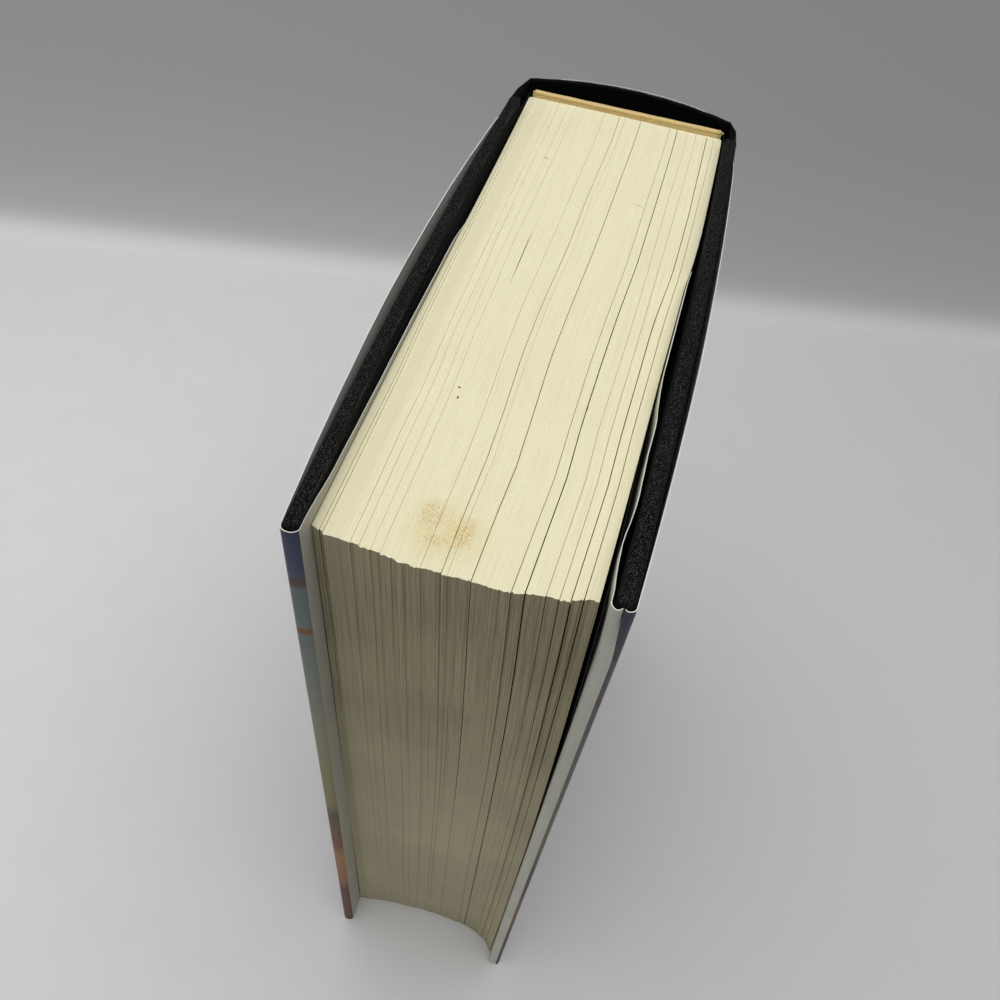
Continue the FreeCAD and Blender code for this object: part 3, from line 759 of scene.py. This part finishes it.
def slab_ring(word, inset, end_inset):
    """Closed plan of the covered board as (depth, reach), outer half then inner half."""
    outer, inner = 0.65 + inset, CASE_INNER[word] - 0.1 * inset
    fore, rear = COVER_FORE + inset + end_inset, COVER_BACK - inset
    big, small = max(1.0 - inset, 0.15), max(0.6 - inset, 0.1)
    centre = (outer + inner) / 2

    def corner(depth, reach, radius, start):
        turn = np.radians(np.linspace(start, start + 90, 6))
        return [(depth + radius * math.cos(t), reach + radius * math.sin(t)) for t in turn]

    # The two centre points stand out by 0.1, so that the triangles at the ends have an area
    outer_half = [(centre, rear + 0.1)] + corner(outer + small, rear - small, small, 90)
    outer_half += [(outer, r) for r in np.linspace(rear - small, fore + big, 34)[1:-1]]
    outer_half += corner(outer + big, fore + big, big, 180) + [(centre, fore - 0.1)]
    inner_half = [(2 * centre - d, r) for d, r in outer_half[::-1]]
    ring = np.array(outer_half + inner_half[1:-1])
    ring[:, 0] -= bow_at(ring[:, 1])
    return ring


def cover_case(word):
    side = SIDE[word]
    rows = []
    for height, inset in zip(*edge_rows(0.0, COVER_TOP, 0.9, 26)):
        end_inset = rounding(1.0, min(height, COVER_TOP - height) + 0.6)
        ring = slab_ring(word, inset, end_inset)
        rows.append(cover_point(word, ring[:, 0], ring[:, 1], height))
    rows = np.array(rows)
    index, closed = tube_numbers(*rows.shape[:2])
    faces = grid_faces(closed, flip=side > 0)
    half = rows.shape[1] // 2
    for row, turned in ((index[0], side > 0), (index[-1], side < 0)):
        first, second = row[:half + 1], np.concatenate([row[:1], row[half:][::-1]])
        faces += [f for f in grid_faces(np.stack([first, second]), flip=turned) if len(set(f)) == 4]
        ends = [[first[0], first[1], second[1]], [first[-2], first[-1], second[-2]]]
        faces += [[a, c, b] for a, b, c in ends] if turned else ends
    points = rows.reshape(-1, 3)
    # Joint strip from the spine's shoulder down the groove to the board
    hinge = HINGE_Y[word]
    ys = np.concatenate([np.linspace(SHOULDER_Y + 0.1, hinge + 1.0, 14), np.linspace(hinge, hinge - 5.2, 16)])
    dip = np.interp(ys, (hinge - 5.2, hinge - 3.0, hinge + 1.5, SHOULDER_Y), (2.6, 2.3, 1.9, 0.1))
    xs = side * (CASE_HALF + dip) + BLOCK_X
    zs = edge_rows(0.35, COVER_TOP - 0.35, 0.15, 26)[0]
    middle = grid_points(xs, ys, zs)[:, ::-side]
    more, more_faces, _ = sheet_parts(middle, 0.34, len(points))
    obj = make_object(f"{word}_case", np.concatenate([points, more]), faces + more_faces, [cloth_black],
                      smooth_angle=50)
    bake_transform(obj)
    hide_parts(f"{word}_cloth")


for word in SIDE:
    cover_case(word)

# Endpapers

def endpaper_sheet(word):
    """The pasted black leaf, with a tongue across the joint."""
    side, hinge = SIDE[word], HINGE_Y[word]
    reach = np.linspace(COVER_FORE + 3.0, COVER_BACK - 1.0, 60)
    depth = CASE_INNER[word] + 0.05 - bow_at(reach)
    zs = np.linspace(3.05, 237.95, 24)
    pasted = np.array([cover_point(word, depth, reach, z) for z in zs])
    tongue_end = 75.2
    ys = np.linspace(hinge - 3.0, tongue_end, 14)
    start_x = abs(pasted[0, -1, 0] - BLOCK_X)
    xs = side * np.interp(ys, (hinge - 4.2, hinge - 0.5, tongue_end), (start_x, 26.95, 26.78)) + BLOCK_X
    middle = np.concatenate([pasted, grid_points(xs, ys, zs)], axis=1)[:, ::-side]
    obj = sheet_object(f"{word}_endpaper", middle, 0.08, [endpaper, endpaper])
    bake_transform(obj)
    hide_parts(f"{word}_pastedown")


def flyleaf_sheet(word):
    """The free black leaf; the back one stands off the pages towards the fore-edge."""
    side = SIDE[word]
    along = np.linspace(-151.3 if word == "front" else -152.6, -1.5, 60)
    zs = np.linspace(0.3, BLOCK_HEIGHT - (3.0 if word == "front" else 0.9), 30)[:, None]
    off = 0.1
    if word == "back":
        off = 0.12 + 0.75 * ease((-along - 110.0) / 42.0) * ease((zs - 20.0) / 150.0)
    xs = spread_face(side, along, BLOCK_HEIGHT - zs) + side * off
    middle = grid_points(xs, along, zs)[:, ::-side]
    obj = sheet_object(f"{word}_free_leaf", block_point(middle), 0.1, [endpaper, endpaper])
    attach(obj, "book_block")
    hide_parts(f"{word}_flyleaf")


for word in SIDE:
    endpaper_sheet(word)
    flyleaf_sheet(word)

# Jacket: panel, fold and flap of each cover, hung across the joint

SKIN = 0.1              # from the board's cloth to the jacket's middle
RIM_DROP = 3.0          # of the jacket's rim at the joints
PANEL, FOLD, FLAP = 0, 1, 2


def jacket_path(word):
    """Middle line of the jacket: (x, y) over the joint, then depth, reach and kind to the flap's end."""
    side, hinge = SIDE[word], HINGE_Y[word]
    bow = BOARD_BOW + JACKET_BOW[word]
    joint = [(side * np.interp(y, (hinge, SHOULDER_Y), (30.5, JACKET_HALF)) + BLOCK_X, y)
             for y in np.linspace(SHOULDER_Y, hinge + 0.2, 9)]
    turn = FOLD_END + 1.2
    panel_reach = np.linspace(-0.2, turn, 52)
    share = (panel_reach - turn) / (panel_reach[0] - turn)
    panel_depth = 0.2 + SKIN - bow * 4 * share * (1 - share)
    flap_level = 3.58 if word == "front" else 4.5
    radius = 1.1
    low = turn - radius
    arc_out = [(0.2 + SKIN + radius * (1 - math.cos(t)), turn - radius * math.sin(t))
               for t in np.radians((15, 35, 55, 75, 90))]
    if word == "front":
        arc_in = []
        flat = [(1.8, low), (2.3, low + 0.02), (2.75, low + 0.12), (3.15, low + 0.36), (3.5, low + 0.75)]
    else:
        arc_in = [(flap_level - 1.0 + math.sin(t), low + 1.0 - math.cos(t))
                  for t in np.radians((0, 20, 40, 60, 80))]
        flat = [(d, low) for d in np.linspace(1.4, flap_level - 1.0, 10)[1:-1]]
    flap_width = 101.0 if word == "front" else 93.0
    flap_reach = np.linspace(turn, FOLD_END + flap_width, 40)
    flap_depth = flap_level - bow_at(flap_reach)
    fold = np.array(arc_out + flat + arc_in)
    depth = np.concatenate([panel_depth, fold[:, 0], flap_depth])
    reach = np.concatenate([panel_reach, fold[:, 1], flap_reach])
    kind = np.repeat((PANEL, FOLD, FLAP), (len(panel_depth), len(fold), len(flap_depth)))
    return np.array(joint), depth, reach, kind


# Where the back flap stands at the head: distance from the spine, and x in the block frame
FLAP_STATIONS = (-150.8, -145.5, -140.0, -135.8, -130.8, -126.0, -121.0, -113.0, -110.5, -104.0, -98.0, -92.0,
                 -76.0, -64.0)
FLAP_PLACES = (24.45, 24.2, 24.15, 24.75, 25.15, 25.15, 25.1, 25.35, 25.3, 24.85, 24.75, 24.9, 25.3, 25.6)


def rim_line(word, joint_count, reach, kind):
    """How far the jacket's top rim stands below its highest point, along the whole path."""
    run = np.pad(np.where(kind == FLAP, reach - FOLD_END, 0.0), (joint_count, 0))
    place = np.pad(np.where(kind == PANEL, reach, FOLD_END), (joint_count, 0))
    count = np.arange(len(run))
    rim = 0.10 * np.sin(count * 0.35) + 0.05 * np.sin(count * 1.3)
    if word == "back":
        # Nicks in the flap's rim
        for nick, wide, deep in ((57.0, 1.6, 0.9), (46.0, 1.2, 0.5), (35.5, 1.8, 1.1), (27.0, 1.0, 0.4)):
            rim -= deep * np.exp(-((run - nick) / wide) ** 2)
    # The rim drops towards the spine, behind the board's edge
    rim = rim - rim.max() - ease((place + 75.0) / 60.0) - RIM_DROP * ease((place + 14.0) / 14.0)
    if word == "front":
        return rim - 1.5 * ease((run - 3.0) / 14.0) - 2.4 * ease((run - 86.0) / 15.0)
    return rim - 1.4 * ease((run - 84.0) / 9.0) - 0.9 * ease((place + 95.0) / 30.0)


def flap_place(word, y, z, reach, near_head):
    """Distance of the flap from the middle plane: against the leaves, and on its own line at the head."""
    side = SIDE[word]
    along = along_block(y, z)
    face = side * spread_face(side, np.minimum(0.0, along), BLOCK_HEIGHT - (z - SQUARE))
    if word == "front":
        return face + 0.2
    stand = np.maximum(np.interp(along, FLAP_STATIONS, FLAP_PLACES), face + 0.3)
    reach_in = ease((reach - FOLD_END) / 30.0)
    low_gap = 0.3 + (1.2 - 0.9 * reach_in) * ease((z - 30.0) / 170.0)
    return stand * near_head + (face + low_gap) * (1 - near_head)


def jacket_cover(word):
    side, hinge = SIDE[word], HINGE_Y[word]
    joint, depth, reach, kind = jacket_path(word)
    panel, fold, flap = kind == PANEL, kind == FOLD, kind == FLAP
    zs = np.concatenate([np.linspace(JACKET_FOOT, 200, 40), np.linspace(202, JACKET_TOP, 22)])
    rows = []
    for z in zs:
        near_head = ease((z - 185.0) / 50.0)
        near_tail = 1 - ease((z - 222.0) / 17.0)
        d, r = depth.copy(), reach.copy()
        d[panel] -= 0.12 * np.sin(z * 0.03 + 1.0) * np.sin(np.pi * np.linspace(0, 1, panel.sum()))
        lean_off = -math.sin(math.radians(LEAN[word])) * r[flap]
        wish = HINGE_X - lean_off - flap_place(word, hinge + r[flap], z, r[flap], near_head)
        start = ease((r[flap] - FOLD_END - 1.0) / 5.0)
        stop = (3.56 if word == "front" else 4.0) - bow_at(r[flap])
        d[flap] = np.maximum(d[flap] * (1 - start) + wish * start, stop)
        if word == "back":
            # A crumple at the top of the fold, and its inner half pressed towards the board lower down
            crease = np.exp(-((d[fold] - 2.3) / 0.4) ** 2)
            belly = np.exp(-((d[fold] - 3.5) / 0.7) ** 2)
            r[fold] += (0.5 * crease - 0.35 * belly) * (1.0 - 0.7 * near_tail)
            d[fold] -= 0.9 * near_tail * np.exp(-((d[fold] - 2.3) / 1.25) ** 2)
            d[fold] -= 0.55 * near_tail * ease((d[fold] - 2.5) / 2.0)
            d[flap] -= 0.55 * near_tail * (1 - start)
            # The fold swings out a little towards the foot
            r -= 2.0 * (1 - min(1.0, z / 170.0)) ** 2 * ease((-reach - 112.0) / 40.0)
        over_joint = np.column_stack([joint, np.full(len(joint), z)])
        rows.append(np.concatenate([over_joint, cover_point(word, d, r, z)]))
    middle = np.array(rows)
    lift = np.clip((zs - 228.0) / 11.9, 0.0, 1.0)
    middle[..., 2] += lift[:, None] * rim_line(word, len(joint), reach, kind)[None]
    thick = np.tile(np.where(np.pad(flap, (len(joint), 0)), 0.14, 0.2), (len(zs), 1))
    obj = sheet_object(f"{word}_jacket", middle[:, ::-side], thick[:, ::-side],
                       [jacket_print, jacket_white, shaded_flap_paper[word]], 35)
    # The flap's face is plain paper: only the panel, the fold's outer half and the joint are printed
    slots = np.zeros(len(obj.data.polygons), np.int32)
    obj.data.polygons.foreach_get("material_index", slots)
    edge = 3.55 if word == "front" else 2.3
    printed = np.pad(panel | (fold & (depth < edge)), (len(joint), 0), constant_values=True)
    pattern = np.tile(np.where(printed[:-1] & printed[1:], 0, 2)[::-side], len(zs) - 1)
    slots[:len(pattern)] = pattern
    obj.data.polygons.foreach_set("material_index", slots)
    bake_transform(obj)
    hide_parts(f"jacket_{word}")


for word in SIDE:
    jacket_cover(word)

xs, ys = arc_points(JACKET_HALF, -0.4, 61)
ys = ys + 0.45 * np.cos(xs / JACKET_HALF * math.pi / 2)
zs = np.linspace(JACKET_FOOT, JACKET_TOP, 60)[:, None]
top = 0.8 - (RIM_DROP + 1.2) * np.abs(xs / JACKET_HALF) ** 9
rise = ease((zs - 225.0) / (JACKET_TOP - 225.0))
middle = grid_points(xs[::-1] + BLOCK_X, ys[::-1], zs + rise * top[None])
spine_jacket = sheet_object("spine_jacket", middle, 0.2, [jacket_print, jacket_white])
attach(spine_jacket, "book_block")
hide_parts("jacket_spine")

# Solids kept as they are, with a finish of their own

KEPT = {
    "mull": ((0.62, 0.58, 0.45), (0.40, 0.36, 0.25), 0.9, 4.0),
    "spine_lining": ((0.16, 0.11, 0.07), (0.10, 0.065, 0.04), 0.85, 1.5),
    # Painted shade: the spine card is darker than bare card, for the deep hollow it lines
    "spine_inlay": ((0.20, 0.16, 0.12), (0.12, 0.095, 0.07), 0.85, 1.2),
    "front_board": ((0.36, 0.33, 0.29), (0.25, 0.22, 0.19), 0.9, 1.5),
}
kept_materials = {name: node_material(f"{name}_finish", *values) for name, values in KEPT.items()}
kept_materials["back_board"] = kept_materials["front_board"]
for name, finish in kept_materials.items():
    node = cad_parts[name]
    node.data.materials.clear()
    node.data.materials.append(finish)

# Stage: a pale floor and a grey wall that meets it in a soft curve

def floor_material():
    made, tree = material("floor_paint_and_light")
    coords = own_coords(tree)
    x, y, _ = split(tree, coords)
    grain = noise(tree, coords, 60.0, 3.0)
    # Painted light: paler to the left, where more of the lamp's light falls; also darker towards the wall
    colour = mix(tree, fade(tree, x, -0.32, 0.32), (0.82, 0.82, 0.825), grey(0.63))
    colour = tint(tree, colour, y, 0.05, 0.32, 0.35, grey(0.60))
    colour = tint(tree, colour, grain, 0.4, 0.7, 0.06, grey(0.6))
    surface(tree, colour, 0.75, 0.2)
    bump(tree, grain, 0.05, 0.0005)
    return made


def wall_material():
    """Glows to the camera with painted light, greys that fall off with height and darken to the right; lights
    the room as paint, and is clear from behind.
    """
    made, tree = material("wall_glow_painted_light")
    x, _, z = split(tree, own_coords(tree))
    rise = ramp(tree, maths(tree, "DIVIDE", z, 0.30, clamp=True), [
        (0.0, grey(0.60)), (0.012, grey(0.54)), (0.030, grey(0.43)), (0.050, grey(0.365)),
        (0.075, (0.335, 0.335, 0.337)), (0.16, (0.302, 0.302, 0.304)), (0.37, (0.262, 0.262, 0.264)),
        (1.0, (0.222, 0.222, 0.224))])
    rise = tint(tree, rise, x, -0.30, 0.30, 0.28, grey(0.14))
    paint = surface(tree, rise, 0.9)
    # Painted light: the wall glows with these greys instead of being lit
    glow = add(tree, "ShaderNodeEmission", {"Color": rise, "Strength": 1.0})
    shown = add(tree, "ShaderNodeMixShader",
                {0: seen_directly(tree), 1: paint.outputs[0], 2: glow.outputs[0]})
    clear = add(tree, "ShaderNodeBsdfTransparent")
    facing = add(tree, "ShaderNodeNewGeometry").outputs["Backfacing"]
    whole = add(tree, "ShaderNodeMixShader", {0: facing, 1: shown.outputs[0], 2: clear.outputs[0]})
    tree.links.new(whole.outputs[0], tree.nodes["Material Output"].inputs["Surface"])
    return made


def stage_piece(name, points, faces, finish):
    mesh = bpy.data.meshes.new(name)
    mesh.from_pydata(points, [], faces)
    mesh.polygons.foreach_set("use_smooth", [True] * len(faces))
    mesh.materials.append(finish)
    return link(name, mesh)


floor = stage_piece("floor", [(-3, -3, 0), (3, -3, 0), (3, 3, 0), (-3, 3, 0)], [(0, 1, 2, 3)],
                    floor_material())

wall_foot = Vector((-0.0772, 0.298, 0.0))
along_wall = Vector((0.5593, 0.1161, 0.0)).normalized()
away = Vector((-along_wall.y, along_wall.x, 0.0))
curve = 0.012           # radius between floor and wall
outline = [(-curve + curve * math.sin(t), 0.0003 + curve - curve * math.cos(t))
           for t in np.radians(np.linspace(0, 90, 12))] + [(0.0, 0.1), (0.0, 0.3), (0.0, 1.0)]
wall_points = [tuple(wall_foot + along_wall * end + away * out + Vector((0, 0, up)))
               for end in (-2.0, 2.0) for out, up in outline]
wall_faces = [(step, step + len(outline), step + 1 + len(outline), step + 1)
              for step in range(len(outline) - 1)]
wall = stage_piece("wall", wall_points, wall_faces, wall_material())
wall.visible_shadow = False

# Light: one large soft lamp high above and a little behind, with a faint fill from all round

KEY_PLACE, KEY_TARGET = Vector((-0.05, 0.02, 1.45)), Vector((0.0, 0.0, 0.1))
key_data = bpy.data.lights.new("key", "AREA")
key_data.shape = "DISK"
key_data.size = 2.1
key_data.energy = 22.0
key = link("key", key_data)
key.location = KEY_PLACE
key.rotation_euler = (KEY_TARGET - KEY_PLACE).to_track_quat("-Z", "Y").to_euler()

world = bpy.data.worlds.new("studio")
bpy.context.scene.world = world
world.use_nodes = True
tree = world.node_tree
fill = tree.nodes["Background"]
fill.inputs["Color"].default_value = (0.9, 0.95, 1.0, 1.0)
fill.inputs["Strength"].default_value = 0.13
backdrop = add(tree, "ShaderNodeBackground", {"Color": (0.36, 0.36, 0.365, 1.0), "Strength": 1.0})
both = add(tree, "ShaderNodeMixShader", {0: seen_directly(tree), 1: fill.outputs[0], 2: backdrop.outputs[0]})
tree.links.new(both.outputs[0], tree.nodes["World Output"].inputs["Surface"])

# Camera

CAMERA_PLACE = (0.0175, -0.16072, 0.35861)
azimuth, elevation, roll = (math.radians(value) for value in (8.56, 51.07, -8.26))
forward = Vector((-math.sin(azimuth) * math.cos(elevation), math.cos(azimuth) * math.cos(elevation),
                  -math.sin(elevation)))
right = Vector((math.cos(azimuth), math.sin(azimuth), 0.0))
down = forward.cross(right)
right_rolled = right * math.cos(roll) + down * math.sin(roll)
up = -forward.cross(right_rolled)
camera_data = bpy.data.cameras.new("camera")
camera_data.sensor_width = 36.0
camera_data.lens = 32.4
camera_data.clip_start = 0.01
camera = link("camera", camera_data)
turned = Matrix((right_rolled, up, -forward)).transposed().to_4x4()
camera.matrix_world = Matrix.Translation(CAMERA_PLACE) @ turned
bpy.context.scene.camera = camera
bpy.context.scene.view_settings.view_transform = "Standard"


def plain(box):
    return [[float(value) for value in corner] for corner in box]
